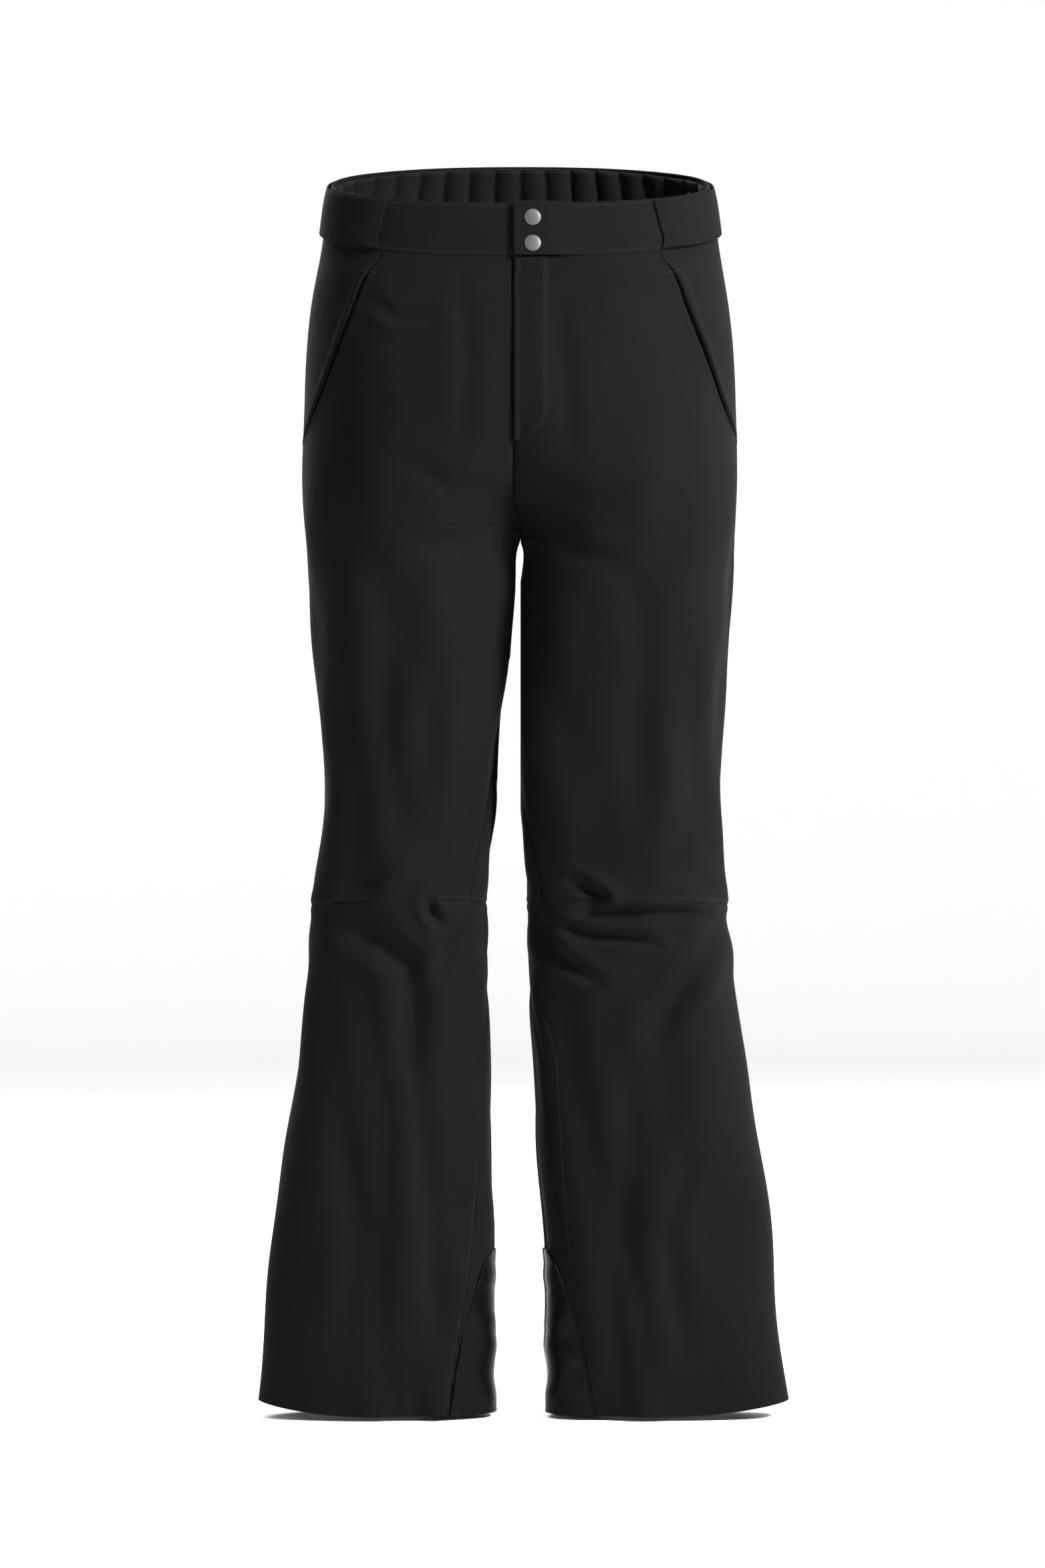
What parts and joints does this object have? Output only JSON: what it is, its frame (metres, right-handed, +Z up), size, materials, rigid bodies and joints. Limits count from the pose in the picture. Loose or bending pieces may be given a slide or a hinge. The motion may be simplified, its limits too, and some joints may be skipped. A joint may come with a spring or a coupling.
{
  "type": "ski pants",
  "caption": "Softshell ski pants with flared legs, a studded waist closure, side adjuster tabs, slanted zip pockets and hem guards; legs swing at the hip and fold at the knee.",
  "frame": {"origin": "centre of the waist opening, level with its sides", "axes": "+Z up towards the waist, +X to the wearer's left, -Y to the front"},
  "size_m": [0.47, 0.2261, 1.1098],
  "materials": {
    "softshell": "matte woven softshell with a fine grain",
    "press_stud_metal": "matt gunmetal, finely speckled",
    "zip_metal": "black lacquered metal",
    "pull_tab": "matt moulded tab",
    "zip_tape": "woven tape with a moulded coil",
    "hem_guard_coating": "glossy coated cloth",
    "quilted_lining": "brushed tricot, quilted in channels",
    "elastic_tape": "ribbed woven elastic",
    "hook_and_loop": "hook and loop pile",
    "inner_lining": "thin plain-woven lining",
    "label_cloth": "satin label, blank",
    "woven_tape": "herringbone tape"
  },
  "bodies": {
    "hips": {"care_label": "label_cloth", "hanger_loops": "woven_tape", "waist_elastic": "elastic_tape", "back_quilted_lining": "quilted_lining", "back_waistband": "softshell", "left_front_waistband": "softshell", "right_front_waistband": "softshell", "fly_flap": "softshell", "fly_shield": "inner_lining", "fly_zip": "zip_tape", "snap_studs": "press_stud_metal", "snap_posts": "press_stud_metal", "left_front_hip_panel": "softshell", "left_side_hip_panel": "softshell", "left_back_hip_panel": "softshell", "left_groin_section": "softshell", "left_pocket_bag": "inner_lining", "left_pocket_zip": "zip_tape", "left_tab_loop_patch": "hook_and_loop", "right_front_hip_panel": "softshell", "right_side_hip_panel": "softshell", "right_back_hip_panel": "softshell", "right_groin_section": "softshell", "right_pocket_bag": "inner_lining", "right_pocket_zip": "zip_tape", "right_tab_loop_patch": "hook_and_loop"},
    "closure": {"closure_flap": "softshell", "snap_caps": "press_stud_metal", "snap_sockets": "press_stud_metal"},
    "left_thigh": {"left_front_thigh_panel": "softshell", "left_back_thigh_panel": "softshell", "left_knee_section": "softshell"},
    "left_shin": {"left_front_shin_panel": "softshell", "left_back_shin_panel": "softshell", "left_inner_shin_panel": "softshell", "left_hem_guard": "hem_guard_coating", "left_hem_facing": "softshell", "left_boot_gaiter": "inner_lining", "left_gaiter_elastic": "elastic_tape"},
    "left_tab": {"left_waist_tab": "softshell", "left_tab_hook_patch": "hook_and_loop"},
    "right_thigh": {"right_front_thigh_panel": "softshell", "right_back_thigh_panel": "softshell", "right_knee_section": "softshell"},
    "right_shin": {"right_front_shin_panel": "softshell", "right_back_shin_panel": "softshell", "right_inner_shin_panel": "softshell", "right_hem_guard": "hem_guard_coating", "right_hem_facing": "softshell", "right_boot_gaiter": "inner_lining", "right_gaiter_elastic": "elastic_tape"},
    "right_tab": {"right_waist_tab": "softshell", "right_tab_hook_patch": "hook_and_loop"},
    "fly_slider": {"fly_zip_slider": "zip_metal"},
    "fly_pull": {"fly_zip_pull": "pull_tab"},
    "left_pocket_slider": {"left_pocket_zip_slider": "zip_metal"},
    "left_pocket_pull": {"left_pocket_zip_pull": "pull_tab"},
    "right_pocket_slider": {"right_pocket_zip_slider": "zip_metal"},
    "right_pocket_pull": {"right_pocket_zip_pull": "pull_tab"}
  },
  "joints": [
    {"name": "left_hip_swing", "type": "hinge", "parent": "hips", "child": "left_thigh", "pos_m": [0.095, 0.005, -0.3], "axis": [-1, 0, 0], "range_deg": [-10, 50], "deforming": ["left_groin_section"]},
    {"name": "left_knee_fold", "type": "hinge", "parent": "left_thigh", "child": "left_shin", "pos_m": [0.105, -0.001, -0.633], "axis": [1, 0, 0], "range_deg": [0, 65], "deforming": ["left_knee_section"]},
    {"name": "right_hip_swing", "type": "hinge", "parent": "hips", "child": "right_thigh", "pos_m": [-0.095, 0.005, -0.3], "axis": [-1, 0, 0], "range_deg": [-10, 50], "deforming": ["right_groin_section"]},
    {"name": "right_knee_fold", "type": "hinge", "parent": "right_thigh", "child": "right_shin", "pos_m": [-0.105, -0.001, -0.633], "axis": [1, 0, 0], "range_deg": [0, 65], "deforming": ["right_knee_section"]},
    {"name": "closure_open", "type": "hinge", "parent": "hips", "child": "closure", "pos_m": [0.0245, -0.08918, -0.05014], "axis": [0, 0.1506, 0.9886], "range_deg": [0, 100]},
    {"name": "left_tab_peel", "type": "hinge", "parent": "hips", "child": "left_tab", "pos_m": [0.1237, -0.06797, -0.04407], "axis": [0.198, -0.0465, -0.9791], "range_deg": [0, 90]},
    {"name": "right_tab_peel", "type": "hinge", "parent": "hips", "child": "right_tab", "pos_m": [-0.1237, -0.06797, -0.04407], "axis": [0.198, 0.0465, 0.9791], "range_deg": [0, 90]},
    {"name": "fly_zip_slide", "type": "slide", "parent": "hips", "child": "fly_slider", "axis": [0, -0.0161, -0.9999], "range_m": [0, 0.141]},
    {"name": "fly_pull_lift", "type": "hinge", "parent": "fly_slider", "child": "fly_pull", "pos_m": [0.01225, -0.0857, -0.07996], "axis": [-1, 0, 0], "range_deg": [0, 8]},
    {"name": "left_pocket_zip_slide", "type": "slide", "parent": "hips", "child": "left_pocket_slider", "axis": [0.3155, 0.2577, -0.9132], "range_m": [0, 0.148]},
    {"name": "left_pocket_pull_lift", "type": "hinge", "parent": "left_pocket_slider", "child": "left_pocket_pull", "pos_m": [0.13284, -0.0594, -0.08241], "axis": [-0.5146, -0.7621, -0.3929], "range_deg": [0, 8]},
    {"name": "right_pocket_zip_slide", "type": "slide", "parent": "hips", "child": "right_pocket_slider", "axis": [-0.3155, 0.2577, -0.9132], "range_m": [0, 0.148]},
    {"name": "right_pocket_pull_lift", "type": "hinge", "parent": "right_pocket_slider", "child": "right_pocket_pull", "pos_m": [-0.13284, -0.0594, -0.08241], "axis": [-0.5146, 0.7621, 0.3929], "range_deg": [0, 8]}
  ]
}
